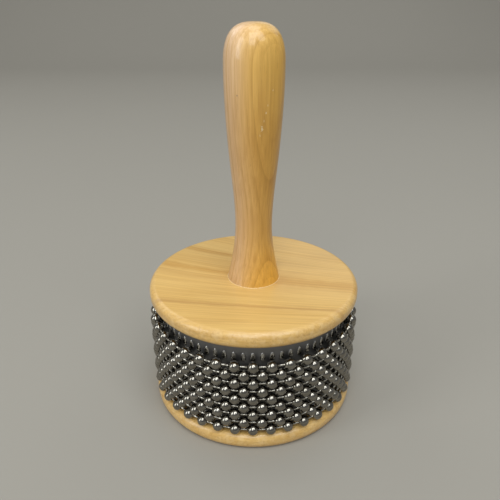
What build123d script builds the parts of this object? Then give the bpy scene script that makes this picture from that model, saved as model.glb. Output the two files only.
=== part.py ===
from build123d import *
import math
import os

# A cabasa: a turned wooden handle on a round drum. The drum is a wooden core in a textured steel
# sleeve, held between two wooden discs, with rows of endless ball chain lying loose round it.
# Millimetres, +Z up along the handle, origin at the centre of the bottom disc's underside.
# -Y is the front. The sleeve's seam is at the back, +Y.

# Discs
disc_diameter = 101.6
disc_thickness = 7.8
disc_edge_radius = 3.2
disc_edge_limit = 0.45  # most of the thickness that one rounded edge takes
disc_overhang = 5.4  # from the sleeve's face out to the rim

# Sleeve round the core
sleeve_sheet = 0.5
sleeve_seam_gap = 0.6
sleeve_end_clearance = 0.1
wrap_clearance = 0.05

# Ball chains
chain_rows = 9
ball_diameter = 5.4
ball_wall = 0.5
ball_clearance = 0.4  # from the tacks' heads to the balls
link_gap = 2.8  # bare wire between two balls of one row
row_gap = 0.59  # between nested balls of two rows
seat_clearance = 0.2  # under the lowest row
free_gap = 7.1  # above the highest row
chain_start_angle = -0.5  # turn of the whole belt about +Z
wire_diameter = 1.1
wire_clearance = 0.1
link_head_lip = 0.15  # how far a link's head reaches past the ball's hole
link_head_clearance = 0.2

# Handle, with heights from the top disc
handle_length = 115.2
handle_base_radius = 12.6
handle_base_flare = 0.22  # radius lost per millimetre at the foot
handle_waist_radius = 8.6
handle_waist_height = 28.0
handle_belly_fullness = 0.61  # 0 is the waist's radius, 1 the grip's
handle_grip_radius = 12.93
handle_grip_height = 97.5
handle_crown_squareness = 2.8  # 2 is an ellipse
crown_steps = 5  # points on the crown's curve
tenon_shoulder = 4.6
tenon_depth = 22.0  # below the top disc
tenon_clearance = 0.1
tenon_end_gap = 0.5
tenon_chamfer = 1.0

# Long screw that clamps the drum to the handle
handle_screw_radius = 3.0
handle_screw_bite = 34.0  # thread inside the handle
handle_screw_head_radius = 5.6
handle_screw_head_height = 2.6
handle_screw_head_round = 1.0
handle_screw_recess = 0.4  # head below the disc's underside
washer_radius = 8.0
washer_thickness = 1.0
screw_clearance = 0.15

# Countersunk screws through the bottom disc
disc_screw_count = 3
disc_screw_radius = 1.8
disc_screw_head_radius = 3.6
disc_screw_head_rim = 0.4
disc_screw_length = 25.0
disc_screw_recess = 0.3
disc_screw_inset = 15.0  # from the core's edge

# Thread and driver cross that both kinds of screw have
thread_depth = 0.5
thread_pitch = 2.2
thread_tip = 3.0
driver_slot_width = 1.1
driver_slot_depth = 1.2

# Dowels between the core and the top disc
dowel_count = 2
dowel_radius = 3.0
dowel_core_depth = 14.0
dowel_cover = 2.8  # wood left above a dowel
dowel_clearance = 0.05
dowel_end_gap = 0.3
dowel_inset = 15.0  # from the core's edge

# Tacks beside the sleeve's seam
tack_rows = 4
tack_head_radius = 1.6
tack_head_height = 0.45
tack_shank_radius = 0.6
tack_length = 10.0
tack_clearance = 0.05
tack_seam_offset = 4.0
tack_edge_offset = 5.0

# Places that follow from the sizes
disc_radius = disc_diameter / 2
sleeve_radius = disc_radius - disc_overhang
core_radius = sleeve_radius - sleeve_sheet - wrap_clearance
ball_radius = ball_diameter / 2
ball_inner_radius = ball_radius - ball_wall
tack_head_front = tack_clearance + tack_head_height
ball_circle_radius = sleeve_radius + tack_head_front + ball_clearance + ball_radius
balls_per_row = 2 * round(math.pi * ball_circle_radius / (ball_diameter + link_gap))
ball_step = 360 / balls_per_row
ball_pitch = 2 * ball_circle_radius * math.sin(math.radians(ball_step / 2))
nest_offset = 2 * ball_circle_radius * math.sin(math.radians(ball_step / 4))
row_spacing = math.sqrt((ball_diameter + row_gap) ** 2 - nest_offset**2)
wire_radius = wire_diameter / 2
wire_lean = ball_radius * math.tan(math.radians(ball_step / 2))
ball_hole_radius = wire_radius + wire_clearance + wire_lean
link_head_radius = ball_hole_radius + link_head_lip
core_height = seat_clearance + ball_diameter + (chain_rows - 1) * row_spacing + free_gap
core_bottom = disc_thickness
core_top = core_bottom + core_height
drum_height = core_top + disc_thickness
tenon_radius = handle_base_radius - tenon_shoulder
tenon_bottom = core_top - tenon_depth
handle_screw_bore = handle_screw_radius + screw_clearance
washer_seat = handle_screw_recess + handle_screw_head_height + washer_thickness
handle_screw_tip = tenon_bottom + handle_screw_bite
disc_screw_circle = core_radius - disc_screw_inset
dowel_circle = core_radius - dowel_inset
dowel_bottom = core_top - dowel_core_depth
dowel_top = drum_height - dowel_cover


def turned(*edges):
    return revolve(make_face(list(edges)), Axis.Z)


def turned_outline(points):
    return turned(*Polyline(*[(radius, 0, height) for radius, height in points], close=True).edges())


def upright(radius, bottom, top):
    return Pos(0, 0, bottom) * Cylinder(radius, top - bottom, align=(Align.CENTER, Align.CENTER, Align.MIN))


def around(count, circle_radius, start=0.0):
    return [Rot(0, 0, start + turn * 360 / count) * Pos(0, -circle_radius, 0) for turn in range(count)]


def rounded_disc(bottom):
    disc = upright(disc_radius, bottom, bottom + disc_thickness)
    rims = disc.edges().filter_by(GeomType.CIRCLE)
    return fillet(rims, min(disc_edge_radius, disc_edge_limit * disc_thickness))


def driver_cross(bottom, reach):
    slot = Pos(0, 0, bottom) * Box(
        reach, driver_slot_width, driver_slot_depth, align=(Align.CENTER, Align.CENTER, Align.MIN)
    )
    return slot + Rot(0, 0, 90) * slot


# A screw stands head down. Its head's outline ends at the shank, which is plain up to plain_end.
def wood_screw(head_outline, shank_radius, plain_end, tip):
    points = list(head_outline) + [(shank_radius, plain_end)]
    thread_end = tip - thread_tip
    ridges = max(1, round((thread_end - plain_end) / thread_pitch))
    ridge_height = (thread_end - plain_end) / ridges
    for ridge in range(ridges):
        foot = plain_end + ridge * ridge_height
        points += [(shank_radius - thread_depth, foot + ridge_height / 2)]
        points += [(shank_radius, foot + ridge_height)]
    return turned_outline(points + [(0, tip)])


def handle_side():
    belly_radius = handle_waist_radius + handle_belly_fullness * (handle_grip_radius - handle_waist_radius)
    belly_height = (handle_waist_height + handle_grip_height) / 2
    side = Spline(
        (handle_base_radius, 0, drum_height),
        (handle_waist_radius, 0, drum_height + handle_waist_height),
        (belly_radius, 0, drum_height + belly_height),
        (handle_grip_radius, 0, drum_height + handle_grip_height),
        tangents=[(-handle_base_flare, 0, 1), (0, 0, 1)],
    )
    crown_height = handle_length - handle_grip_height
    power = 2 / handle_crown_squareness
    crown_points = []
    for step in range(crown_steps):
        angle = math.radians(90 * step / crown_steps)
        radius = handle_grip_radius * math.cos(angle) ** power
        height = handle_grip_height + crown_height * math.sin(angle) ** power
        crown_points.append((radius, 0, drum_height + height))
    top = (0, 0, drum_height + handle_length)
    crown = Spline(*crown_points, top, tangents=[(0, 0, 1), (-1, 0, 0)])
    return side, crown


def handle():
    side, crown = handle_side()
    lower = Polyline(
        crown @ 1,
        (0, 0, tenon_bottom),
        (tenon_radius - tenon_chamfer, 0, tenon_bottom),
        (tenon_radius, 0, tenon_bottom + tenon_chamfer),
        (tenon_radius, 0, drum_height),
        (handle_base_radius, 0, drum_height),
    )
    blank = turned(*lower.edges(), side, crown)
    return blank - upright(handle_screw_bore, tenon_bottom, handle_screw_tip + screw_clearance)


def dowel_places():
    return around(dowel_count, dowel_circle, 90)


def disc_screw_places():
    return around(disc_screw_count, disc_screw_circle, 60)


def top_disc():
    disc = rounded_disc(core_top) - upright(tenon_radius + tenon_clearance, core_top, drum_height)
    for place in dowel_places():
        disc -= place * upright(dowel_radius + dowel_clearance, core_top, dowel_top + dowel_end_gap)
    return disc


def bottom_disc():
    disc = rounded_disc(0) - upright(handle_screw_bore, 0, disc_thickness)
    disc -= upright(washer_radius + screw_clearance, 0, washer_seat)
    sink_radius = disc_screw_head_radius + screw_clearance
    bore = disc_screw_radius + screw_clearance
    sink_rim = disc_screw_recess + disc_screw_head_rim
    sink = [(0, 0), (sink_radius, 0), (sink_radius, sink_rim)]
    sink += [(bore, sink_rim + sink_radius - bore), (bore, disc_thickness), (0, disc_thickness)]
    for place in disc_screw_places():
        disc -= place * turned_outline(sink)
    return disc


def core():
    block = upright(core_radius, core_bottom, core_top)
    block -= upright(tenon_radius + tenon_clearance, tenon_bottom - tenon_end_gap, core_top)
    block -= upright(handle_screw_bore, core_bottom, core_top)
    for place in disc_screw_places():
        pilot_end = disc_screw_recess + disc_screw_length + screw_clearance
        block -= place * upright(disc_screw_radius + screw_clearance, core_bottom, pilot_end)
    for place in dowel_places():
        block -= place * upright(dowel_radius + dowel_clearance, dowel_bottom - dowel_end_gap, core_top)
    for place in tack_places():
        block -= place * tack_hole()
    return block


def sleeve():
    bottom = core_bottom + sleeve_end_clearance
    top = core_top - sleeve_end_clearance
    sheet = upright(sleeve_radius, bottom, top) - upright(sleeve_radius - sleeve_sheet, bottom, top)
    seam = Box(sleeve_seam_gap, disc_radius, core_height, align=(Align.CENTER, Align.MIN, Align.MIN))
    sheet -= Pos(0, 0, core_bottom) * seam
    for place in tack_places():
        sheet -= place * tack_hole()
    return sheet


# A tack lies along +Y with the underside of its head at the origin, on the sleeve's face.
def tack_places():
    turn = math.degrees(tack_seam_offset / sleeve_radius)
    reach = core_height - 2 * tack_edge_offset
    places = []
    for row in range(tack_rows):
        height = core_bottom + tack_edge_offset + reach * row / max(1, tack_rows - 1)
        for side in (-1, 1):
            places.append(Pos(0, 0, height) * Rot(0, 0, side * turn) * Pos(0, sleeve_radius, 0))
    return places


def tack_hole():
    hole_depth = tack_length + tack_clearance
    hole = Cylinder(tack_shank_radius + tack_clearance, 2 * hole_depth)
    return Rot(90, 0, 0) * hole


# The head's back is flat, so it stands off by the sleeve's curve across its width.
def tack():
    head_rim = tack_clearance + tack_head_height / 3
    outline = [(0, -tack_length), (tack_shank_radius, 2 * tack_shank_radius - tack_length)]
    outline += [(tack_shank_radius, tack_clearance), (tack_head_radius, tack_clearance)]
    outline += [(tack_head_radius, head_rim), (tack_head_radius / 2, tack_head_front), (0, tack_head_front)]
    return Rot(-90, 0, 0) * turned_outline(outline)


def handle_screw():
    bottom = handle_screw_recess
    seat = bottom + handle_screw_head_height
    head = [
        (0, bottom),
        (handle_screw_head_radius - handle_screw_head_round, bottom),
        (handle_screw_head_radius, bottom + handle_screw_head_round),
        (handle_screw_head_radius, seat),
        (handle_screw_radius, seat),
    ]
    screw = wood_screw(head, handle_screw_radius, tenon_bottom, handle_screw_tip)
    return screw - driver_cross(bottom, handle_screw_head_radius)


def washer():
    bottom = washer_seat - washer_thickness
    return upright(washer_radius, bottom, washer_seat) - upright(handle_screw_bore, bottom, washer_seat)


def disc_screw():
    bottom = disc_screw_recess
    rim = bottom + disc_screw_head_rim
    neck = rim + disc_screw_head_radius - disc_screw_radius
    head = [(0, bottom), (disc_screw_head_radius, bottom), (disc_screw_head_radius, rim)]
    head += [(disc_screw_radius, neck)]
    screw = wood_screw(head, disc_screw_radius, disc_thickness, bottom + disc_screw_length)
    return screw - driver_cross(bottom, disc_screw_head_radius)


# A hollow ball at the origin, turned about X, with a hole at each end.
def chain_ball():
    wall = [ball_radius, ball_inner_radius]
    hole_ends = [math.sqrt(radius**2 - ball_hole_radius**2) for radius in wall]
    outer, inner = [
        ThreePointArc((-end, ball_hole_radius), (0, radius), (end, ball_hole_radius))
        for radius, end in zip(wall, hole_ends)
    ]
    sides = [Line(outer @ end, inner @ end) for end in (0, 1)]
    return revolve(make_face([outer, inner, *sides]), Axis.X)


# A wire link turned about X, with a round head trapped in the ball at each end.
def chain_link():
    hole_edge = math.sqrt(ball_inner_radius**2 - ball_hole_radius**2)
    head_reach = math.sqrt((link_head_radius + link_head_clearance) ** 2 - ball_hole_radius**2)
    head_place = ball_pitch / 2 - (hole_edge - head_reach)
    neck = head_place - math.sqrt(link_head_radius**2 - wire_radius**2)
    heads = [
        ThreePointArc(
            (side * (head_place + link_head_radius), 0),
            (side * head_place, link_head_radius),
            (side * neck, wire_radius),
        )
        for side in (-1, 1)
    ]
    wire = Line(heads[0] @ 1, heads[1] @ 1)
    axis_line = Line(heads[0] @ 0, heads[1] @ 0)
    return revolve(make_face([*heads, wire, axis_line]), Axis.X)


def row_height(row):
    return core_bottom + seat_clearance + ball_radius + row * row_spacing


def row_start(row):
    return chain_start_angle + (ball_step / 2 if row % 2 else 0)


def row_of(piece, row, circle_radius, start):
    lift = Pos(0, 0, row_height(row))
    return [lift * place * piece for place in around(balls_per_row, circle_radius, start)]


def chain_row(row):
    link_circle_radius = ball_circle_radius * math.cos(math.radians(ball_step / 2))
    start = row_start(row)
    balls = row_of(chain_ball(), row, ball_circle_radius, start)
    links = row_of(chain_link(), row, link_circle_radius, start + ball_step / 2)
    return balls, links


def write(name, *pieces):
    solids = [solid for piece in pieces for solid in piece.solids()]
    export_step(Compound(solids), f"parts/{name}.step")


os.makedirs("parts", exist_ok=True)
write("handle", handle())
write("top_disc", top_disc())
write("bottom_disc", bottom_disc())
write("hub_core", core())
write("texture_sleeve", sleeve())
write("sleeve_tacks", *[place * tack() for place in tack_places()])
write("handle_screw", handle_screw())
write("handle_screw_washer", washer())
write("bottom_disc_screws", *[place * disc_screw() for place in disc_screw_places()])
dowel = upright(dowel_radius, dowel_bottom, dowel_top)
write("top_disc_dowels", *[place * dowel for place in dowel_places()])
for row in range(chain_rows):
    row_balls, row_links = chain_row(row)
    write(f"chain_{row + 1}_balls", *row_balls)
    write(f"chain_{row + 1}_links", *row_links)

print(f"drum {drum_height:.2f} high, {balls_per_row} balls a row {ball_pitch:.3f} apart")
print(f"{chain_rows} rows {row_spacing:.3f} apart")
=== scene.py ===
import bpy
import bmesh
from math import atan2, ceil, cos, pi, radians, sin
from mathutils import Matrix, Vector


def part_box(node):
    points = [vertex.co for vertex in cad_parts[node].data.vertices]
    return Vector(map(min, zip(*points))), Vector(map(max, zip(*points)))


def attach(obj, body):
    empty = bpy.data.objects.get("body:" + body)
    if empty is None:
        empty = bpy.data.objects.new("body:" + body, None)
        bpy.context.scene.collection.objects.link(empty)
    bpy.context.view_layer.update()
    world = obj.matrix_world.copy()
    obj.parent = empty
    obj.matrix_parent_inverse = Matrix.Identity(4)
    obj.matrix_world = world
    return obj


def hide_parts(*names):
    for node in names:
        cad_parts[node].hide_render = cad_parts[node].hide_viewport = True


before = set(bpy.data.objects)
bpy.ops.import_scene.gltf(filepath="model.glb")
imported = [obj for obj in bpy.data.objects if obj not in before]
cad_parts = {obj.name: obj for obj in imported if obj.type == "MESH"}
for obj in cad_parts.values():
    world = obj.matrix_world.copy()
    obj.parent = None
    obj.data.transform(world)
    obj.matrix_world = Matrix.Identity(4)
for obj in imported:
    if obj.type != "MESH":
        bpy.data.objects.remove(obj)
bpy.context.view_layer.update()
mm = 0.001
near = 0.01 * mm  # two places closer than this count as one
weld = 0.0005 * mm
print("frame loaded,", len(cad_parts), "nodes")


# node helpers
toMillimetres = (1000, 1000, 1000)
noiseSpan = (0.3, 0.7)  # most of a noise texture's values lie between these


def addNode(tree, kind, settings=None, inputs=None):
    node = tree.nodes.new(kind)
    for key, value in (settings or {}).items():
        setattr(node, key, value)
    for key, value in (inputs or {}).items():
        if isinstance(value, bpy.types.NodeSocket):
            tree.links.new(value, node.inputs[key])
        else:
            node.inputs[key].default_value = value
    return node


def calc(tree, operation, first, second=0.0):
    node = addNode(tree, "ShaderNodeMath", {"operation": operation}, {0: first, 1: second})
    return node.outputs[0]


def stretched(tree, vector, factors):
    settings = {"operation": "MULTIPLY"}
    return addNode(tree, "ShaderNodeVectorMath", settings, {0: vector, 1: factors}).outputs[0]


def noise(tree, vector, scale=1.0, detail=2.0, roughness=0.5):
    inputs = {"Vector": vector, "Scale": scale, "Detail": detail, "Roughness": roughness}
    return addNode(tree, "ShaderNodeTexNoise", {}, inputs).outputs["Fac"]


def remap(tree, value, fromLow, fromHigh, toLow=0.0, toHigh=1.0, soft=False):
    settings = {"interpolation_type": "SMOOTHSTEP" if soft else "LINEAR"}
    inputs = {0: value, 1: fromLow, 2: fromHigh, 3: toLow, 4: toHigh}
    return addNode(tree, "ShaderNodeMapRange", settings, inputs).outputs[0]


def mixed(tree, amount, first, second, blend="MIX"):
    settings = {"data_type": "RGBA", "blend_type": blend}
    return addNode(tree, "ShaderNodeMix", settings, {0: amount, 6: first, 7: second}).outputs[2]


def faded(tree, mask, strength, colour, tint):
    return mixed(tree, calc(tree, "MULTIPLY", mask, strength), colour, tint)


def newGroup(name, inputs, outputs):
    tree = bpy.data.node_groups.new(name, "ShaderNodeTree")
    for label, kind in inputs:
        tree.interface.new_socket(name=label, in_out="INPUT", socket_type=kind)
    for label in outputs:
        tree.interface.new_socket(name=label, in_out="OUTPUT", socket_type="NodeSocketFloat")
    source = tree.nodes.new("NodeGroupInput")
    sink = tree.nodes.new("NodeGroupOutput")
    return tree, source, sink


# wood figure: grain runs along X, the tree's heart is the X axis, everything inside in millimetres
woodGrain = {
    "drift": (0.008, 0.035, 0.035), "fibre": (0.022, 1.1, 1.1), "tone": (0.006, 0.1, 0.1),
    "dash": (0.2, 2.6, 2.6), "poreSpan": (0.68, 0.76),
    "lateWood": 2.4, "ringEnd": 0.9, "seasons": (0.15, 1.6),  # how each ring darkens, ends and differs
}


def buildWoodFigure():
    inputs = [("Place", "NodeSocketVector"), ("Ring width", "NodeSocketFloat"), ("Waver", "NodeSocketFloat")]
    tree, source, sink = newGroup("woodFigure", inputs, ["Ring", "Fibre", "Tone", "Pore", "Reach"])
    place = stretched(tree, source.outputs["Place"], toMillimetres)
    drift = noise(tree, stretched(tree, place, woodGrain["drift"]))
    drift = calc(tree, "SUBTRACT", drift, 0.5)
    across = stretched(tree, place, (0, 1, 1))
    reach = addNode(tree, "ShaderNodeVectorMath", {"operation": "LENGTH"}, {0: across}).outputs["Value"]
    reach = calc(tree, "ADD", reach, calc(tree, "MULTIPLY", drift, source.outputs["Waver"]))
    turns = calc(tree, "DIVIDE", reach, source.outputs["Ring width"])
    phase = calc(tree, "FRACT", turns)
    late = calc(tree, "POWER", phase, woodGrain["lateWood"])
    late = calc(tree, "MULTIPLY", late, remap(tree, phase, woodGrain["ringEnd"], 1.0, 1.0, 0.0, soft=True))
    whole = calc(tree, "FLOOR", turns)
    season = addNode(tree, "ShaderNodeTexWhiteNoise", {"noise_dimensions": "1D"}, {"W": whole})
    strength = remap(tree, season.outputs["Value"], 0.0, 1.0, *woodGrain["seasons"])
    ring = calc(tree, "MULTIPLY", late, strength)
    fibre = noise(tree, stretched(tree, place, woodGrain["fibre"]), detail=4.0, roughness=0.62)
    tone = noise(tree, stretched(tree, place, woodGrain["tone"]), detail=3.0, roughness=0.55)
    dash = noise(tree, stretched(tree, place, woodGrain["dash"]), detail=1.0)
    pore = remap(tree, dash, *woodGrain["poreSpan"])
    for label, value in (("Ring", ring), ("Fibre", fibre), ("Tone", tone), ("Pore", pore), ("Reach", reach)):
        tree.links.new(value, sink.inputs[label])
    return tree


# one soft streak of other colour along the grain, between two ends
streakShape = {
    "drift": (0.035, 0.2, 0.2), "swellScale": 0.12, "swell": (0.6, 1.4), "core": 0.1, "fade": 14.0,
}


def buildGrainStreak():
    labels = ["Centre", "Half width", "Start", "End"]
    inputs = [("Place", "NodeSocketVector")] + [(label, "NodeSocketFloat") for label in labels]
    tree, source, sink = newGroup("grainStreak", inputs, ["Mask"])
    centre, halfWidth, start, end = [source.outputs[label] for label in labels]
    place = stretched(tree, source.outputs["Place"], toMillimetres)
    axes = addNode(tree, "ShaderNodeSeparateXYZ", {}, {0: place}).outputs
    drift = noise(tree, stretched(tree, place, streakShape["drift"]))
    drift = calc(tree, "SUBTRACT", drift, 0.5)
    swell = remap(tree, noise(tree, place, streakShape["swellScale"]), *noiseSpan, *streakShape["swell"])
    wide = calc(tree, "MULTIPLY", halfWidth, swell)
    off = calc(tree, "ABSOLUTE", calc(tree, "ADD", calc(tree, "SUBTRACT", axes["Y"], centre), drift))
    mask = remap(tree, calc(tree, "DIVIDE", off, wide), streakShape["core"], 1.0, 1.0, 0.0, soft=True)
    fromStart = calc(tree, "SUBTRACT", axes["X"], start)
    toEnd = calc(tree, "SUBTRACT", end, axes["X"])
    for left in (fromStart, toEnd):
        mask = calc(tree, "MULTIPLY", mask, remap(tree, left, 0.0, streakShape["fade"], soft=True))
    tree.links.new(mask, sink.inputs["Mask"])
    return tree


# patches rubbed along a round edge, growing between two distances from the Z axis
rubShape = {"patchScale": 0.35, "patchSpan": (0.45, 0.62), "speckScale": 0.9, "speckSpan": (0.54, 0.66)}


def buildEdgeRub():
    labels = ["From", "To"]
    inputs = [("Place", "NodeSocketVector")] + [(label, "NodeSocketFloat") for label in labels]
    tree, source, sink = newGroup("edgeRub", inputs, ["Rub", "Dirt"])
    place = stretched(tree, source.outputs["Place"], toMillimetres)
    flat = stretched(tree, place, (1, 1, 0))
    reach = addNode(tree, "ShaderNodeVectorMath", {"operation": "LENGTH"}, {0: flat}).outputs["Value"]
    span = calc(tree, "SUBTRACT", source.outputs["To"], source.outputs["From"])
    along = calc(tree, "DIVIDE", calc(tree, "SUBTRACT", reach, source.outputs["From"]), span)
    edge = remap(tree, along, 0.0, 1.0, soft=True)
    patches = noise(tree, place, rubShape["patchScale"], detail=4.0, roughness=0.65)
    patches = remap(tree, patches, *rubShape["patchSpan"])
    specks = noise(tree, place, rubShape["speckScale"], detail=3.0, roughness=0.6)
    specks = remap(tree, specks, *rubShape["speckSpan"])
    tree.links.new(calc(tree, "MULTIPLY", edge, patches), sink.inputs["Rub"])
    tree.links.new(calc(tree, "MULTIPLY", edge, specks), sink.inputs["Dirt"])
    return tree


# marks of use: soft smears and a few dark flecks
fleckShape = {"dotScale": 0.22, "dotSpan": (0.06, 0.03), "rareScale": 0.05, "rareSpan": (0.5, 0.54)}


def buildHandMarks():
    inputs = [("Place", "NodeSocketVector"), ("Smear size", "NodeSocketFloat")]
    tree, source, sink = newGroup("handMarks", inputs, ["Smear", "Fleck"])
    place = stretched(tree, source.outputs["Place"], toMillimetres)
    scale = calc(tree, "DIVIDE", 1.0, source.outputs["Smear size"])
    smear = noise(tree, place, scale, detail=4.0, roughness=0.6)
    dots = addNode(tree, "ShaderNodeTexVoronoi", {}, {"Vector": place, "Scale": fleckShape["dotScale"]})
    dots = remap(tree, dots.outputs["Distance"], *fleckShape["dotSpan"])
    rare = noise(tree, place, fleckShape["rareScale"], detail=0.0)
    fleck = calc(tree, "MULTIPLY", dots, remap(tree, rare, *fleckShape["rareSpan"]))
    for label, value in (("Smear", smear), ("Fleck", fleck)):
        tree.links.new(value, sink.inputs[label])
    return tree


woodFigure = buildWoodFigure()
grainStreak = buildGrainStreak()
edgeRub = buildEdgeRub()
handMarks = buildHandMarks()


def newMaterial(name, **sockets):
    material = bpy.data.materials.new(name)
    material.use_nodes = True
    tree = material.node_tree
    shader = tree.nodes["Principled BSDF"]
    for label, value in sockets.items():
        shader.inputs[label.replace("_", " ")].default_value = value
    place = addNode(tree, "ShaderNodeTexCoord").outputs["Object"]
    return material, tree, shader, place


def placeGroup(tree, group, **inputs):
    node = addNode(tree, "ShaderNodeGroup", {"node_tree": group})
    for label, value in inputs.items():
        socket = node.inputs[label.replace("_", " ")]
        if isinstance(value, bpy.types.NodeSocket):
            tree.links.new(value, socket)
        else:
            socket.default_value = value
    return node.outputs


def bumpInto(tree, shader, height, strength, distance):
    settings = {"Height": height, "Strength": strength, "Distance": distance}
    bump = addNode(tree, "ShaderNodeBump", {}, settings)
    tree.links.new(bump.outputs["Normal"], shader.inputs["Normal"])


# grain lines that spread apart across the board: Y grows with X by a slope that changes with Y
def fanGrain(tree, place, slope, change):
    axes = addNode(tree, "ShaderNodeSeparateXYZ", {}, {0: place}).outputs
    lean = addNode(tree, "ShaderNodeMath", {"operation": "MULTIPLY_ADD"}, {0: axes["Y"], 1: change, 2: slope})
    across = {0: axes["X"], 1: lean.outputs[0], 2: axes["Y"]}
    across = addNode(tree, "ShaderNodeMath", {"operation": "MULTIPLY_ADD"}, across).outputs[0]
    return addNode(tree, "ShaderNodeCombineXYZ", {}, {0: axes["X"], 1: across, 2: axes["Z"]}).outputs[0]


# small ragged chip or speck at one spot, longer along Z
spotShape = {"roughScale": 1800, "squeeze": (1, 1, 0.4), "ragged": (0.5, 1.7), "core": 0.6}


def spotMask(tree, place, spot, radius):
    away = addNode(tree, "ShaderNodeVectorMath", {"operation": "SUBTRACT"}, {0: place, 1: spot}).outputs[0]
    rough = noise(tree, place, spotShape["roughScale"])
    size = {0: stretched(tree, away, spotShape["squeeze"])}
    size = addNode(tree, "ShaderNodeVectorMath", {"operation": "LENGTH"}, size).outputs["Value"]
    size = calc(tree, "MULTIPLY", size, remap(tree, rough, *noiseSpan, *spotShape["ragged"]))
    return remap(tree, size, spotShape["core"] * radius, radius, 1.0, 0.0)


# lacquered wood, with the grain turned and the heart moved by a Mapping node
woodFinish = {"specular": 0.4, "rubRoughness": 0.15, "poreDepth": 0.6, "bump": 0.05 * mm}


def makeWood(name, look):
    material, tree, shader, place = newMaterial(
        name, Coat_Weight=look["coat"], Coat_Roughness=look["coatRoughness"],
        Specular_IOR_Level=woodFinish["specular"])
    fanned = fanGrain(tree, place, *look["fan"])
    turn = {"Vector": fanned, "Rotation": look["turn"], "Location": look["heart"]}
    laid = addNode(tree, "ShaderNodeMapping", {}, turn).outputs["Vector"]
    figure = placeGroup(tree, woodFigure, Place=laid, Ring_width=look["ringWidth"], Waver=look["waver"])
    marks = placeGroup(tree, handMarks, Place=place, Smear_size=look["smearSize"])
    # pale and deep mixed by distance from the heart; on the handle this is partly wood tone and partly a
    # painted sheen on its pale left
    low, high, share = look["reachTone"]
    depth = calc(tree, "MULTIPLY", remap(tree, figure["Reach"], low, high), share)
    tone = calc(tree, "MULTIPLY", remap(tree, figure["Tone"], *noiseSpan), 1 - share)
    tone = calc(tree, "ADD", tone, depth)
    colour = mixed(tree, tone, look["pale"], look["deep"])
    colour = faded(tree, figure["Ring"], look["ringStrength"], colour, look["line"])
    for centre, halfWidth, start, end, tint, strength in look["streaks"]:
        streak = placeGroup(
            tree, grainStreak, Place=fanned, Centre=centre, Half_width=halfWidth, Start=start, End=end)
        colour = faded(tree, streak["Mask"], strength, colour, tint)
    fibre = mixed(tree, remap(tree, figure["Fibre"], *noiseSpan), *look["fibreTints"])
    colour = mixed(tree, 1.0, colour, fibre, "MULTIPLY")
    colour = faded(tree, figure["Pore"], look["poreStrength"], colour, look["poreColour"])
    colour = faded(tree, marks["Fleck"], look["fleck"], colour, look["line"])
    for spot, radius, tint, strength in look["spots"]:
        colour = faded(tree, spotMask(tree, place, spot, radius), strength, colour, tint)
    roughness = remap(tree, marks["Smear"], *noiseSpan, *look["roughness"])
    if "crown" in look:  # painted light: paler at the top, partly hand wear and partly a painted sheen; a painted sheen on the left and painted shade on the right; painted light and deeper gold at the foot's right
        apart = addNode(tree, "ShaderNodeSeparateXYZ", {}, {0: place}).outputs
        crown = remap(tree, apart["Z"], *look["crown"], soft=True)
        side = remap(tree, apart["X"], *look["sides"], soft=True)
        foot = calc(tree, "MULTIPLY", side, remap(tree, apart["Z"], *look["foot"], soft=True))
        # painted sheen and hand wear: the top is multiplied paler
        colour = mixed(tree, crown, colour, look["crownSheenAndWear"], "MULTIPLY")
        # painted sheen on the left side, painted shade on the right side
        colour = mixed(tree, 1.0, colour, mixed(tree, side, *look["sideSheenAndShade"]), "MULTIPLY")
        # painted light and a deeper gold at the right of the foot, taking back part of the painted side shade
        colour = mixed(tree, foot, colour, look["footLightAndGold"], "MULTIPLY")
    if "rim" in look:
        rub = placeGroup(tree, edgeRub, Place=place, From=look["rim"][0], To=look["rim"][1])
        colour = faded(tree, rub["Rub"], look["rubStrength"], colour, look["rubColour"])
        colour = faded(tree, rub["Dirt"], look["dirtStrength"], colour, look["line"])
        rougher = calc(tree, "MULTIPLY", rub["Rub"], woodFinish["rubRoughness"])
        roughness = calc(tree, "ADD", roughness, rougher)
    tree.links.new(colour, shader.inputs["Base Color"])
    tree.links.new(roughness, shader.inputs["Roughness"])
    pits = calc(tree, "MULTIPLY", figure["Pore"], woodFinish["poreDepth"])
    relief = calc(tree, "SUBTRACT", figure["Fibre"], pits)
    bumpInto(tree, shader, relief, look["relief"], woodFinish["bump"])
    return material


orangeStreak = (0.58, 0.325, 0.082, 1)
brownStreak = (0.50, 0.28, 0.085, 1)
# dark and light strands, which multiply the colour
discFibre = ((0.87, 0.82, 0.74, 1), (1.08, 1.1, 1.12, 1))
handleFibre = ((0.855, 0.8, 0.71, 1), (1.08, 1.1, 1.16, 1))
discWoodLook = {
    "pale": (0.74, 0.48, 0.163, 1), "deep": (0.675, 0.41, 0.12, 1), "line": (0.46, 0.235, 0.06, 1),
    "turn": (0, 0, 0), "heart": (0.0, 0.031, -0.142), "fan": (0.246, 4.7), "ringWidth": 5.2, "waver": 5.0,
    "ringStrength": 0.2, "fibreTints": discFibre, "poreStrength": 0.16, "poreColour": (0.42, 0.22, 0.07, 1),
    "reachTone": (0, 1, 0.0), "coat": 0.55, "coatRoughness": 0.16, "roughness": (0.36, 0.5), "relief": 0.25,
    "smearSize": 14.0, "fleck": 0.35, "spots": [],
    "rim": (47.6, 50.6), "rubStrength": 0.3, "rubColour": (0.82, 0.62, 0.34, 1), "dirtStrength": 0.35,
    "streaks": [  # millimetres: across the grain, half width, start, end; then colour and strength
        (-28.6, 1.9, -60, 50, brownStreak, 0.6), (-25.9, 1.0, 5, 60, brownStreak, 0.35),
        (18.0, 2.8, -56, 2, orangeStreak, 0.75), (-0.4, 3.4, -60, 2, orangeStreak, 0.85),
        (-2.0, 7.0, 2, 70, orangeStreak, 0.75), (31.5, 1.4, 2, 60, orangeStreak, 0.5),
        (-41.0, 1.6, -35, 5, brownStreak, 0.3), (9.0, 1.2, 10, 60, brownStreak, 0.25),
    ],
}
paleNick = (0.86, 0.76, 0.56, 1)
darkSpeck = (0.3, 0.17, 0.08, 1)
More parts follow.
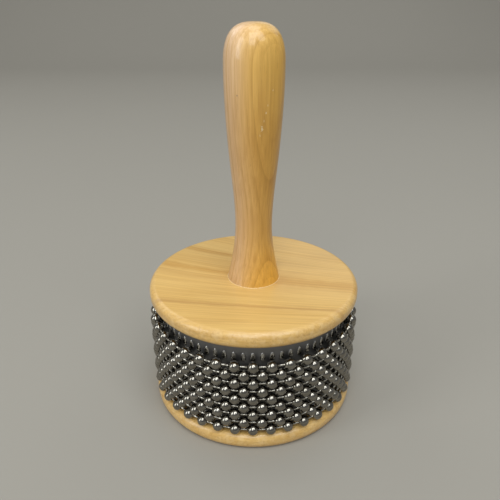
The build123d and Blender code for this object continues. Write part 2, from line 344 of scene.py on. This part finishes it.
handleWoodLook = {
    "pale": (0.725, 0.465, 0.212, 1), "deep": (0.705, 0.397, 0.082, 1), "line": (0.56, 0.3, 0.062, 1),
    "turn": (0, radians(90), 0), "heart": (0.0, -0.026, -0.022), "fan": (0, 0),
    "ringWidth": 1.7, "waver": 2.6,
    # sides: a painted sheen on the left, painted shade on the right
    "sides": (-0.009, 0.01), "sideSheenAndShade": ((0.91, 0.89, 0.94, 1), (0.87, 0.81, 0.54, 1)),
    # foot: painted light and a deeper gold at the right of the foot
    "foot": (0.09, 0.066), "footLightAndGold": (1.3, 1.27, 1.04, 1),
    "ringStrength": 0.75, "fibreTints": handleFibre,
    "poreStrength": 0.36, "poreColour": (0.40, 0.2, 0.055, 1),
    # reachTone: pale left and deep right, partly wood tone and partly a painted sheen on the left; crown: a
    # paler top, partly hand wear and partly a painted sheen
    "reachTone": (36, 44, 0.85), "crown": (0.13, 0.176), "crownSheenAndWear": (1.26, 1.38, 1.75, 1),
    "coat": 0.6, "coatRoughness": 0.11, "roughness": (0.34, 0.48), "relief": 0.3,
    "smearSize": 12.0, "fleck": 0.3, "streaks": [],
    "spots": [  # metres: place and radius; then colour and strength
        ((0.0048, -0.0116, 0.1451), 0.00028, paleNick, 0.6),
        ((0.0040, -0.0117, 0.1419), 0.00026, paleNick, 0.5),
        ((0.0032, -0.0117, 0.1386), 0.00048, paleNick, 0.75),
        ((0.0075, -0.0104, 0.1540), 0.00025, paleNick, 0.6),
        ((0.0055, -0.0114, 0.1482), 0.0002, paleNick, 0.6),
        ((0.0024, -0.0118, 0.1360), 0.00025, paleNick, 0.6),
        ((-0.0070, -0.0107, 0.1517), 0.0003, darkSpeck, 0.8),
    ],
}
bottomWoodLook = dict(
    discWoodLook, fan=(-0.3, 0.0), heart=(0.06, 0.045, 0.09), streaks=[], ringStrength=0.3)
coreWoodLook = dict(
    discWoodLook, coat=0.0, roughness=(0.6, 0.75), turn=(0, radians(90), 0), fan=(0, 0), streaks=[])
discWood = makeWood("discWood", discWoodLook)
bottomWood = makeWood("bottomWood", bottomWoodLook)
handleWood = makeWood("handleWood", handleWoodLook)
coreWood = makeWood("coreWood", coreWoodLook)


# plated steel, dulled here and there by smears
steelFinish = {"dullSpan": (0.35, 0.7), "gritDepth": 0.02 * mm}


def makeSteel(name, look):
    material, tree, shader, place = newMaterial(name, Metallic=1.0)
    marks = placeGroup(tree, handMarks, Place=place, Smear_size=look["smearSize"])
    dull = remap(tree, marks["Smear"], *steelFinish["dullSpan"])
    tree.links.new(mixed(tree, dull, look["bright"], look["dull"]), shader.inputs["Base Color"])
    roughness = remap(tree, marks["Smear"], *noiseSpan, *look["roughness"])
    tree.links.new(roughness, shader.inputs["Roughness"])
    grit = noise(tree, place, look["gritScale"])
    bumpInto(tree, shader, grit, look["grit"], steelFinish["gritDepth"])
    return material


ballSteel = makeSteel("ballSteel", {
    "bright": (0.3, 0.282, 0.244, 1), "dull": (0.205, 0.189, 0.158, 1), "roughness": (0.03, 0.06),
    "smearSize": 3.0, "gritScale": 1400, "grit": 0.08})
linkSteel = makeSteel("linkSteel", {
    "bright": (0.54, 0.515, 0.45, 1), "dull": (0.36, 0.338, 0.29, 1), "roughness": (0.16, 0.3),
    "smearSize": 2.0, "gritScale": 1800, "grit": 0.1})
screwSteel = makeSteel("screwSteel", {
    "bright": (0.56, 0.56, 0.55, 1), "dull": (0.42, 0.42, 0.4, 1), "roughness": (0.26, 0.42),
    "smearSize": 3.0, "gritScale": 1500, "grit": 0.15})


# the sleeve's raised drops are rubbed bright and its flats stay dull
def makeSleeveSteel(name, look):
    material, tree, shader, place = newMaterial(name, Metallic=1.0)
    marks = placeGroup(tree, handMarks, Place=place, Smear_size=look["smearSize"])
    flat = stretched(tree, place, (1, 1, 0))
    reach = addNode(tree, "ShaderNodeVectorMath", {"operation": "LENGTH"}, {0: flat}).outputs["Value"]
    rubbed = remap(tree, reach, look["flatRadius"], look["flatRadius"] + look["rise"], soft=True)
    worn = calc(tree, "MULTIPLY", rubbed, remap(tree, marks["Smear"], *look["wear"]))
    tree.links.new(mixed(tree, worn, look["flat"], look["rubbed"]), shader.inputs["Base Color"])
    tree.links.new(remap(tree, worn, 0.0, 1.0, *look["roughness"]), shader.inputs["Roughness"])
    streaks = noise(tree, stretched(tree, place, look["streakScale"]), detail=3.0)
    bumpInto(tree, shader, streaks, look["streaks"], look["streakDepth"])
    return material


print("materials ready")


# editing helpers
def clearSelection():
    if bpy.context.mode != "OBJECT":
        bpy.ops.object.mode_set(mode="OBJECT")
    bpy.ops.object.select_all(action="DESELECT")


def makeActive(obj):
    clearSelection()
    obj.select_set(True)
    bpy.context.view_layer.objects.active = obj


def namedActive(name):
    obj = bpy.context.active_object
    obj.name = name
    obj.data.name = name
    return obj


def editing(obj, kind):
    makeActive(obj)
    bpy.ops.object.mode_set(mode="EDIT")
    bpy.ops.mesh.select_mode(type=kind)
    bpy.ops.mesh.select_all(action="DESELECT")


def pick(obj, group, test):
    bpy.ops.mesh.select_all(action="DESELECT")
    work = bmesh.from_edit_mesh(obj.data)
    for item in getattr(work, group):
        if test(item):
            item.select_set(True)
    work.select_flush_mode()
    bmesh.update_edit_mesh(obj.data)


def tidyMesh(obj, smoothAngle, outward=True):
    editing(obj, "VERT")
    bpy.ops.mesh.select_all(action="SELECT")
    bpy.ops.mesh.remove_doubles(threshold=weld)
    if outward:
        bpy.ops.mesh.normals_make_consistent(inside=False)
    makeActive(obj)
    bpy.ops.object.transform_apply(location=True, rotation=True, scale=True)
    bpy.ops.object.shade_smooth_by_angle(angle=radians(smoothAngle))


def finishPiece(obj, material, body, slot, *nodes):
    obj.data.materials.clear()
    obj.data.materials.append(material)
    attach(obj, body)
    if nodes:
        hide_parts(*nodes)


def applyModifier(obj, kind, **settings):
    makeActive(obj)
    modifier = obj.modifiers.new(kind.title(), kind)
    for key, value in settings.items():
        setattr(modifier, key, value)
    bpy.ops.object.modifier_apply(modifier=modifier.name)


# one point drawn out along an outline of (radius, height), then spun round the Z axis
def turnOnLathe(name, outline, steps, smoothAngle=30):
    clearSelection()
    bpy.ops.mesh.primitive_plane_add(size=mm)
    obj = namedActive(name)
    bpy.ops.object.mode_set(mode="EDIT")
    bpy.ops.mesh.select_all(action="SELECT")
    bpy.ops.mesh.merge(type="CENTER")
    bpy.ops.transform.translate(value=(outline[0][0], 0, outline[0][1]))
    for (radius, height), (nextRadius, nextHeight) in zip(outline, outline[1:]):
        move = (nextRadius - radius, 0, nextHeight - height)
        bpy.ops.mesh.extrude_region_move(TRANSFORM_OT_translate={"value": move})
    bpy.ops.mesh.select_all(action="SELECT")
    bpy.ops.mesh.spin(steps=steps, angle=2 * pi, center=(0, 0, 0), axis=(0, 0, 1))
    tidyMesh(obj, smoothAngle)
    return obj


# turned handle
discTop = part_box("top_disc")[1][2]
handle = {
    "steps": 96, "sideRings": 34, "crownRings": 14,
    "footRadius": 12.6 * mm, "footSlope": -0.22, "waistRadius": 8.6 * mm, "waistHeight": 28 * mm,
    "bellyRadius": 11.25 * mm, "bellySlope": 0.085, "gripRadius": 12.93 * mm, "gripHeight": 97.5 * mm,
    "crownPower": 2 / 2.8, "tenonRadius": 8 * mm, "tenonChamfer": 1 * mm,
}


def handleRadius(height):
    bellyHeight = (handle["waistHeight"] + handle["gripHeight"]) / 2
    keys = [
        (0, handle["footRadius"], handle["footSlope"]),
        (handle["waistHeight"], handle["waistRadius"], 0),
        (bellyHeight, handle["bellyRadius"], handle["bellySlope"]),
        (handle["gripHeight"], handle["gripRadius"], 0),
    ]
    for (low, start, startSlope), (high, end, endSlope) in zip(keys, keys[1:]):
        if height <= high:
            break
    span = high - low
    t = (height - low) / span
    ease = t * t * (3 - 2 * t)
    curve = start + (end - start) * ease
    return curve + span * t * (1 - t) * ((1 - t) * startSlope - t * endSlope)


def makeHandle():
    low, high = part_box("handle")
    tenonBottom, length = low[2], high[2] - discTop
    tenon, chamfer = handle["tenonRadius"], handle["tenonChamfer"]
    outline = [
        (0, tenonBottom), (tenon - chamfer, tenonBottom), (tenon, tenonBottom + chamfer), (tenon, discTop)]
    for ring in range(handle["sideRings"] + 1):
        height = handle["gripHeight"] * ring / handle["sideRings"]
        outline.append((handleRadius(height), discTop + height))
    crownHeight = length - handle["gripHeight"]
    for ring in range(1, handle["crownRings"]):
        angle = pi / 2 * ring / handle["crownRings"]
        radius = handle["gripRadius"] * cos(angle) ** handle["crownPower"]
        height = handle["gripHeight"] + crownHeight * sin(angle) ** handle["crownPower"]
        outline.append((radius, discTop + height))
    outline.append((0, discTop + length))
    obj = turnOnLathe("turnedHandle", outline, handle["steps"])
    finishPiece(obj, handleWood, "drum", "handle_wood", "handle")


makeHandle()

# thin line of dried glue round the handle's foot
glue = {
    "width": 0.22 * mm, "height": 0.16 * mm, "bite": 0.3 * mm, "sunk": 0.05 * mm, "shoulder": (1 / 3, 0.7),
    "steps": 96, "smoothAngle": 60, "coat": 0.4, "coatRoughness": 0.2, "roughness": (0.3, 0.5),
    "clotScale": 900, "clotSpan": (0.35, 0.65), "colours": ((0.72, 0.47, 0.17, 1), (0.82, 0.62, 0.34, 1)),
}


def glueLook(name):
    material, tree, shader, place = newMaterial(
        name, Coat_Weight=glue["coat"], Coat_Roughness=glue["coatRoughness"])
    clots = noise(tree, place, glue["clotScale"], detail=3.0)
    colour = mixed(tree, remap(tree, clots, *glue["clotSpan"]), *glue["colours"])
    tree.links.new(colour, shader.inputs["Base Color"])
    tree.links.new(remap(tree, clots, *noiseSpan, *glue["roughness"]), shader.inputs["Roughness"])
    return material


def makeGlueLine():
    foot = handle["footRadius"]
    inner, outer = foot - glue["bite"], foot + glue["width"]
    bottom, top = discTop - glue["sunk"], discTop + glue["height"]
    back, up = glue["shoulder"]
    shoulder = (outer - back * glue["width"], discTop + up * glue["height"])
    outline = [(inner, bottom), (outer, bottom), shoulder, (foot, top), (inner, top), (inner, bottom)]
    obj = turnOnLathe("glueLine", outline, glue["steps"], glue["smoothAngle"])
    finishPiece(obj, glueLook("driedGlue"), "drum", "handle_wood")


makeGlueLine()
print("handle turned")

# wooden discs
disc = {"sides": 160, "edgeRadius": 3.2 * mm, "edgeSegments": 8, "smoothAngle": 25, "topHole": 8.1 * mm}
bottomHoles = {
    "washerRadius": 8.15 * mm, "washerSeat": 4.0 * mm, "boreRadius": 3.15 * mm, "screwCount": 3,
    "screwCircle": 29.85 * mm, "firstScrew": radians(60), "sinkRadius": 3.75 * mm, "sinkRim": 0.7 * mm,
    "screwBore": 1.95 * mm, "cutterSides": 32,
}


def roundedDisc(name, node):
    low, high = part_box(node)
    radius = (high[0] - low[0]) / 2
    clearSelection()
    middle = (0, 0, (low[2] + high[2]) / 2)
    bpy.ops.mesh.primitive_cylinder_add(
        vertices=disc["sides"], radius=radius, depth=high[2] - low[2], location=middle)
    obj = namedActive(name)
    bpy.ops.object.transform_apply(location=True, rotation=True, scale=True)
    editing(obj, "EDGE")
    pick(obj, "edges", lambda e: abs(e.verts[0].co.z - e.verts[1].co.z) < near)
    bpy.ops.mesh.bevel(offset=disc["edgeRadius"], segments=disc["edgeSegments"], profile=0.5)
    return obj, radius - disc["edgeRadius"]


# the flat face at either end, or at one end only: 1 is up, -1 is down
def flatEnd(face, side=0):
    return len(face.verts) == disc["sides"] and face.normal.z * (side or face.normal.z) > 0.5


def makeTopDisc():
    obj, flatRadius = roundedDisc("topDisc", "top_disc")
    bpy.ops.mesh.select_mode(type="FACE")
    pick(obj, "faces", flatEnd)
    bpy.ops.mesh.inset(thickness=flatRadius - disc["topHole"])
    bpy.ops.mesh.bridge_edge_loops()
    tidyMesh(obj, disc["smoothAngle"])
    finishPiece(obj, discWood, "drum", "disc_wood", "top_disc")


def cutScrewSinks(obj):
    bore, sink = bottomHoles["screwBore"], bottomHoles["sinkRadius"]
    rim = bottomHoles["sinkRim"]
    neck = rim + sink - bore
    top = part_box("bottom_disc")[1][2]
    outline = [(0, -mm), (sink, -mm), (sink, rim), (bore, neck), (bore, top + mm), (0, top + mm)]
    for number in range(bottomHoles["screwCount"]):
        cutter = turnOnLathe("sinkCutter", outline, bottomHoles["cutterSides"])
        angle = bottomHoles["firstScrew"] + 2 * pi * number / bottomHoles["screwCount"]
        circle = bottomHoles["screwCircle"]
        cutter.location = (circle * sin(angle), -circle * cos(angle), 0)
        bpy.context.view_layer.update()
        applyModifier(obj, "BOOLEAN", operation="DIFFERENCE", object=cutter, solver="EXACT")
        bpy.data.objects.remove(cutter)


def makeBottomDisc():
    obj, flatRadius = roundedDisc("bottomDisc", "bottom_disc")
    bpy.ops.mesh.select_mode(type="FACE")
    pick(obj, "faces", lambda f: flatEnd(f, -1))
    bpy.ops.mesh.inset(thickness=flatRadius - bottomHoles["washerRadius"])
    bpy.ops.mesh.extrude_region_move(TRANSFORM_OT_translate={"value": (0, 0, bottomHoles["washerSeat"])})
    bpy.ops.mesh.inset(thickness=bottomHoles["washerRadius"] - bottomHoles["boreRadius"])
    pick(obj, "faces", lambda f: flatEnd(f, 1))
    bpy.ops.mesh.inset(thickness=flatRadius - bottomHoles["boreRadius"])
    pick(obj, "faces", flatEnd)
    bpy.ops.mesh.bridge_edge_loops()
    tidyMesh(obj, disc["smoothAngle"])
    cutScrewSinks(obj)
    tidyMesh(obj, disc["smoothAngle"], outward=False)
    finishPiece(obj, bottomWood, "drum", "disc_wood", "bottom_disc")


makeTopDisc()
makeBottomDisc()
print("discs made")

# embossed sleeve: one drop is modelled on a flat cell, laid out in staggered columns, then rolled
sleeve = {
    "radius": 45.4 * mm, "sheet": 0.5 * mm, "seamGap": 0.6 * mm, "columns": 68, "cellHeight": 7.4 * mm,
    "dropCentre": (-0.5 * mm, 48.6 * mm), "dropHalfWidth": 1.3 * mm, "dropHalfHeight": 2.4 * mm,
    "taper": 0.3, "collar": 1.15, "rise": 0.45 * mm, "inset": 1 / 10, "endCuts": 1, "sideCuts": 3,
    "spareColumns": 4, "sparePairs": 2, "smoothAngle": 40,
    "steps": (  # share of the rise, narrowing, shortening
        (0.65, 0.84, 0.93), (0.25, 0.72, 0.86), (0.1, 0.5, 0.6)),
}
sleeveLook = {
    "flat": (0.2, 0.198, 0.2, 1), "rubbed": (0.48, 0.463, 0.415, 1), "roughness": (0.42, 0.13),
    "flatRadius": sleeve["radius"] + 0.08 * mm, "rise": 0.6 * sleeve["rise"],
    "wear": (0.38, 0.6, 0.5, 1.0), "smearSize": 6.0,
    "streaks": 0.2, "streakScale": (900, 900, 60), "streakDepth": 0.03 * mm,
}


def makeDropCell():
    width = 2 * pi * sleeve["radius"] / sleeve["columns"]
    height = sleeve["cellHeight"]
    clearSelection()
    bpy.ops.mesh.primitive_plane_add(size=1, rotation=(pi / 2, 0, 0))
    obj = namedActive("embossedSleeve")
    obj.scale = (width, height, 1)
    bpy.ops.object.transform_apply(location=True, rotation=True, scale=True)
    editing(obj, "EDGE")
    pick(obj, "edges", lambda e: abs(e.verts[0].co.z - e.verts[1].co.z) < near)
    bpy.ops.mesh.subdivide(number_cuts=sleeve["endCuts"])
    pick(obj, "edges", lambda e: abs(abs(e.verts[0].co.x) - width / 2) < near
         and abs(e.verts[0].co.x - e.verts[1].co.x) < near)
    bpy.ops.mesh.subdivide(number_cuts=sleeve["sideCuts"])
    bpy.ops.mesh.select_mode(type="FACE")
    bpy.ops.mesh.select_all(action="SELECT")
    bpy.ops.mesh.dissolve_faces()
    bpy.ops.mesh.select_all(action="SELECT")
    for grow in (sleeve["collar"], 1):
        bpy.ops.mesh.inset(thickness=width * sleeve["inset"])
        shapeDrop(obj, grow)
    for lift, narrower, shorter in sleeve["steps"]:
        move = {"value": (0, -lift * sleeve["rise"], 0)}
        bpy.ops.mesh.extrude_region_move(TRANSFORM_OT_translate=move)
        bpy.ops.transform.resize(value=(narrower, 1, shorter))
    makeActive(obj)
    return obj, width, height


# an inset loop becomes an upright oval, narrower at its top: a flat collar, then the drop's foot
def shapeDrop(obj, grow):
    work = bmesh.from_edit_mesh(obj.data)
    for vert in {v for face in work.faces if face.select for v in face.verts}:
        angle = atan2(vert.co.z / sleeve["dropHalfHeight"], vert.co.x / sleeve["dropHalfWidth"])
        wide = sleeve["dropHalfWidth"] * (1 - sleeve["taper"] * sin(angle))
        vert.co = (grow * wide * cos(angle), 0, grow * sleeve["dropHalfHeight"] * sin(angle))
    bmesh.update_edit_mesh(obj.data)


# rows of cells are laid like bricks, then cut to the sheet's size
def layCells(obj, width, height, low, high):
    editing(obj, "FACE")
    bpy.ops.mesh.select_all(action="SELECT")
    move = {"value": (width / 2, 0, height)}
    bpy.ops.mesh.duplicate_move(TRANSFORM_OT_translate=move)
    makeActive(obj)
    columns = sleeve["columns"] + sleeve["spareColumns"]
    needed = ceil((high - low) / height / 2)
    pairs = needed + sleeve["sparePairs"]
    for count, step in ((columns, (width, 0, 0)), (pairs, (0, 0, 2 * height))):
        applyModifier(
            obj, "ARRAY", count=count, use_relative_offset=False, use_constant_offset=True,
            constant_offset_displace=step, use_merge_vertices=True, merge_threshold=near)
    middle, seat = sleeve["dropCentre"]
    editing(obj, "VERT")
    bpy.ops.mesh.select_all(action="SELECT")
    bpy.ops.mesh.remove_doubles(threshold=near)
    bpy.ops.transform.translate(value=(middle - columns // 2 * width, 0, seat - 2 * needed * height))
    half = width * sleeve["columns"] / 2
    cuts = (
        ((0, 0, low), (0, 0, -1)), ((0, 0, high), (0, 0, 1)),
        ((-half, 0, 0), (-1, 0, 0)), ((half, 0, 0), (1, 0, 0)))
    for place, outward in cuts:
        bpy.ops.mesh.select_all(action="SELECT")
        bpy.ops.mesh.bisect(plane_co=place, plane_no=outward, clear_outer=True)
    makeActive(obj)


# the flat sheet's width goes round the drum, with its two edges meeting at the back
def rollSheet(obj, width):
    around = width * sleeve["columns"]
    share = (around - sleeve["seamGap"]) / around
    for vert in obj.data.vertices:
        angle = vert.co.x * share / sleeve["radius"]
        reach = sleeve["radius"] - vert.co.y
        vert.co = (reach * sin(angle), -reach * cos(angle), vert.co.z)
    obj.data.update()


def makeSleeve():
    low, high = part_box("texture_sleeve")
    obj, width, height = makeDropCell()
    layCells(obj, width, height, low[2], high[2])
    rollSheet(obj, width)
    applyModifier(obj, "SOLIDIFY", thickness=sleeve["sheet"], offset=-1)
    tidyMesh(obj, sleeve["smoothAngle"], outward=False)
    finishPiece(obj, makeSleeveSteel("sleeveSteel", sleeveLook), "drum", "sleeve_steel", "texture_sleeve")


makeSleeve()
print("sleeve rolled")

# ball chains
chain = {
    "rows": 9, "perRow": 38, "ballRadius": 2.7 * mm, "circle": 49.0 * mm, "firstTurn": radians(-0.5),
    "ballSegments": 12, "ballRings": 8, "holeAngle": radians(15), "holeDepth": 1.0 * mm,
    "wireRadius": 0.5 * mm, "wireSides": 8, "headRadius": 1.0 * mm, "headPlace": 2.9 * mm, "smoothAngle": 48,
}
step = 2 * pi / chain["perRow"]


# poles lie along X, where the wire goes in: the last ring closes to the hole's size and the pole is pushed in
def makeBall():
    clearSelection()
    bpy.ops.mesh.primitive_uv_sphere_add(
        segments=chain["ballSegments"], ring_count=chain["ballRings"], radius=chain["ballRadius"],
        rotation=(0, pi / 2, 0))
    obj = namedActive("ball")
    bpy.ops.object.transform_apply(location=True, rotation=True, scale=True)
    editing(obj, "VERT")
    lastRing, rim = pi / chain["ballRings"], chain["holeAngle"]
    shrink = sin(rim) / sin(lastRing)
    for side in (-1, 1):
        pick(obj, "verts", lambda v: abs(v.co.x * side - chain["ballRadius"] * cos(lastRing)) < near)
        bpy.ops.transform.resize(value=(1, shrink, shrink))
        bpy.ops.transform.translate(value=(side * chain["ballRadius"] * (cos(rim) - cos(lastRing)), 0, 0))
        pick(obj, "verts", lambda v: v.co.x * side > chain["ballRadius"] - near)
        bpy.ops.transform.translate(value=(-side * chain["holeDepth"], 0, 0))
    tidyMesh(obj, chain["smoothAngle"])
    return obj


# a straight wire along X that swells into a head inside each ball
def makeLink():
    clearSelection()
    depth = 2 * chain["headPlace"] - chain["headRadius"]
    bpy.ops.mesh.primitive_cylinder_add(
        vertices=chain["wireSides"], radius=chain["wireRadius"], depth=depth, rotation=(0, pi / 2, 0))
    obj = namedActive("link")
    bpy.ops.object.transform_apply(location=True, rotation=True, scale=True)
    swell = chain["headRadius"] / chain["wireRadius"]
    for side in (-1, 1):
        editing(obj, "FACE")
        pick(obj, "faces", lambda f: f.normal.x * side > 0.99)
        for out, grow in ((0.5, swell), (0.6, 1.0), (0.5, 0.5)):  # cone out, straight, cone in
            push = {"value": (side * out * chain["headRadius"], 0, 0)}
            bpy.ops.mesh.extrude_region_move(TRANSFORM_OT_translate=push)
            bpy.ops.transform.resize(value=(1, grow, grow))
    tidyMesh(obj, chain["smoothAngle"])
    return obj


def ringOf(template, name, circle, turn):
    copies = []
    for number in range(chain["perRow"]):
        copy = template.copy()
        copy.data = template.data.copy()
        bpy.context.collection.objects.link(copy)
        spot = Matrix.Translation((0, -circle, 0))
        copy.matrix_world = Matrix.Rotation(turn + number * step, 4, "Z") @ spot
        copies.append(copy)
    makeActive(copies[0])
    for copy in copies:
        copy.select_set(True)
    bpy.ops.object.join()
    bpy.ops.object.transform_apply(location=True, rotation=True, scale=True)
    bpy.data.objects.remove(template)
    return namedActive(name)


def layRows(ring, name, node, material, slot):
    for row in range(1, chain["rows"] + 1):
        low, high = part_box(node.format(row))
        copy = ring.copy()
        copy.data = ring.data.copy()
        copy.name = name.format(row)
        copy.data.name = copy.name
        bpy.context.collection.objects.link(copy)
        turn = chain["firstTurn"] + (0 if row % 2 else step / 2)
        lift = Matrix.Translation((0, 0, (low[2] + high[2]) / 2))
        copy.matrix_world = lift @ Matrix.Rotation(turn, 4, "Z")
        makeActive(copy)
        bpy.ops.object.transform_apply(location=True, rotation=True, scale=True)
        finishPiece(copy, material, f"chain_{row}", slot, node.format(row))
    bpy.data.objects.remove(ring)


balls = ringOf(makeBall(), "ballRing", chain["circle"], 0)
layRows(balls, "chain{}Balls", "chain_{}_balls", ballSteel, "ball_steel")
links = ringOf(makeLink(), "linkRing", chain["circle"] * cos(step / 2), step / 2)
layRows(links, "chain{}Links", "chain_{}_links", linkSteel, "link_steel")
print("chains laid")

# CAD pieces that keep their shape
keptNodes = {
    "hub_core": coreWood, "top_disc_dowels": coreWood, "sleeve_tacks": screwSteel, "handle_screw": screwSteel,
    "handle_screw_washer": screwSteel, "bottom_disc_screws": screwSteel,
}
for node, material in keptNodes.items():
    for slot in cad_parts[node].material_slots:
        slot.material = material
print("kept pieces given their materials")

# floor, light and camera
studio = {
    "floorSize": 6.0, "backWall": 2.2, "wallHeight": 3.0, "sweep": 0.9, "sweepSegments": 16,
    "floorColour": (0.34, 0.317, 0.272, 1), "floorShade": 0.97, "floorScale": 3.0,
    "floorRoughness": 0.6, "floorSpecular": 0.2,
    "world": (0.27, 0.275, 0.283, 1), "boxDistance": 2.0, "aim": (0, 0, 0.06), "tint": (0.93, 0.97, 1.0),
    "boxes": (  # turn and height in degrees, width, length, watts
        (-64, 25, 0.7, 1.5, 12.6), (-10, 52, 0.85, 1.6, 18), (38, 60, 0.8, 1.5, 13.5),
        (-5, 98, 0.8, 1.1, 6.5), (-135, 40, 1.0, 1.0, 4), (135, 40, 1.0, 1.0, 2.4), (163, 25, 0.9, 0.6, 0.9)),
}


def makeFloor():
    clearSelection()
    bpy.ops.mesh.primitive_plane_add(size=studio["floorSize"], location=(0, 0, 0))
    obj = namedActive("floor")
    editing(obj, "EDGE")
    half = studio["floorSize"] / 2
    pick(obj, "edges", lambda e: all(v.co.y > half - mm for v in e.verts))
    bpy.ops.transform.translate(value=(0, studio["backWall"] - half, 0))
    bpy.ops.mesh.extrude_region_move(TRANSFORM_OT_translate={"value": (0, 0, studio["wallHeight"])})
    wall = studio["backWall"]
    pick(obj, "edges", lambda e: all(abs(v.co.y - wall) < mm and abs(v.co.z) < mm for v in e.verts))
    bpy.ops.mesh.bevel(offset=studio["sweep"], segments=studio["sweepSegments"])
    makeActive(obj)
    bpy.ops.object.shade_smooth()
    material, tree, shader, place = newMaterial(
        "paleFloor", Roughness=studio["floorRoughness"], Specular_IOR_Level=studio["floorSpecular"])
    grain = noise(tree, place, studio["floorScale"], detail=3.0)
    deep = tuple(studio["floorShade"] * c for c in studio["floorColour"][:3]) + (1,)
    tree.links.new(mixed(tree, grain, studio["floorColour"], deep), shader.inputs["Base Color"])
    obj.data.materials.append(material)


def addAreaLight(name, place, aim, width, length, watts):
    data = bpy.data.lights.new(name, "AREA")
    data.shape = "RECTANGLE"
    data.size = width
    data.size_y = length
    data.energy = watts
    data.color = studio["tint"]
    lamp = bpy.data.objects.new(name, data)
    lamp.location = place
    lamp.visible_camera = False
    bpy.context.collection.objects.link(lamp)
    away = lamp.location - aim
    lamp.rotation_euler = away.to_track_quat("Z", "Y").to_euler()


def makeLights():
    world = bpy.data.worlds.new("studioWorld")
    bpy.context.scene.world = world
    world.use_nodes = True
    world.node_tree.nodes["Background"].inputs["Color"].default_value = studio["world"]
    aim = Vector(studio["aim"])
    for number, (turn, rise, width, length, watts) in enumerate(studio["boxes"], 1):
        turn, rise = radians(turn), radians(rise)
        away = Vector((sin(turn) * cos(rise), -cos(turn) * cos(rise), sin(rise)))
        addAreaLight(f"softBox{number}", aim + studio["boxDistance"] * away, aim, width, length, watts)


camera = {
    "place": (-1.74 * mm, -227.2 * mm, 188.5 * mm), "pitchDown": radians(26.02),
    "focalPixels": 524.4, "imagePixels": 500, "sensor": 36, "clipStart": 5 * mm,
}


def makeCamera():
    data = bpy.data.cameras.new("photoCamera")
    data.sensor_width = camera["sensor"]
    data.lens = camera["focalPixels"] * camera["sensor"] / camera["imagePixels"]
    data.clip_start = camera["clipStart"]
    obj = bpy.data.objects.new("photoCamera", data)
    obj.location = camera["place"]
    obj.rotation_euler = (pi / 2 - camera["pitchDown"], 0, 0)
    bpy.context.collection.objects.link(obj)
    bpy.context.scene.camera = obj


makeFloor()
makeLights()
makeCamera()
bpy.context.scene.view_settings.view_transform = "Standard"
print("stage set")
